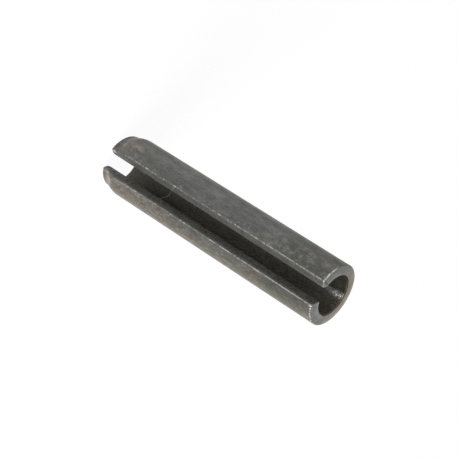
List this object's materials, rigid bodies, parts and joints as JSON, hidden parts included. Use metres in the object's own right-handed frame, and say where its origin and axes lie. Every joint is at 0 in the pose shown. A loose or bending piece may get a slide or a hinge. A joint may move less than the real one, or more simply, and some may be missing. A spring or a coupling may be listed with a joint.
{
  "type": "spring roll pin",
  "caption": "Heavy-duty slotted spring pin: one rolled steel strip with a lengthwise slot, a tapered lead-in end and a plain cut end.",
  "frame": {"origin": "centre of the lead-in end's face, on the pin's axis, where the pin stands", "axes": "+Z along the pin's axis from the tapered lead-in end up to the plain cut end; -Y towards the middle of the slot"},
  "size_m": [0.0064, 0.0062, 0.0285],
  "materials": {
    "spring_steel": "dark hardened spring steel, oiled grey-black with bare bright edges"
  },
  "bodies": {
    "root": {"spring_pin": "spring_steel"}
  },
  "joints": []
}
